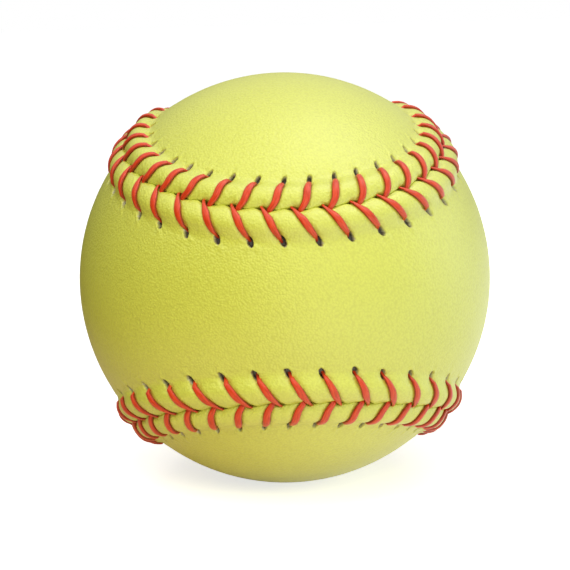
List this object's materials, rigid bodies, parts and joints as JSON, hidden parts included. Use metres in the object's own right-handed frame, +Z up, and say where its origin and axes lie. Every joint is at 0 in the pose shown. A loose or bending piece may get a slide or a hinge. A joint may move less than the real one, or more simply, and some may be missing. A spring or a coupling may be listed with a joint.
{
  "type": "softball",
  "caption": "Leather-covered training softball with a raised, laced seam between two figure-eight panels, a fibre wrap and a soft foam core.",
  "frame": {"origin": "centre of the ball", "axes": "+Z up, -Y towards the waist of the front panel, which faces the viewer, +X to the viewer's right; the seam repeats after half a turn about Y"},
  "size_m": [0.0958, 0.0958, 0.0958],
  "materials": {
    "cover_leather": "optic yellow grained leather, semi-matt",
    "waxed_thread": "red waxed cotton thread, satin",
    "fibre_wrap": "undyed cotton fibre wrap, set in cement",
    "foam_core": "moulded soft foam"
  },
  "bodies": {
    "root": {"core": "foam_core", "cushion_wrap": "fibre_wrap", "cover_panel_front": "cover_leather", "cover_panel_rear": "cover_leather", "stitch_thread_a": "waxed_thread", "stitch_thread_b": "waxed_thread"}
  },
  "joints": []
}
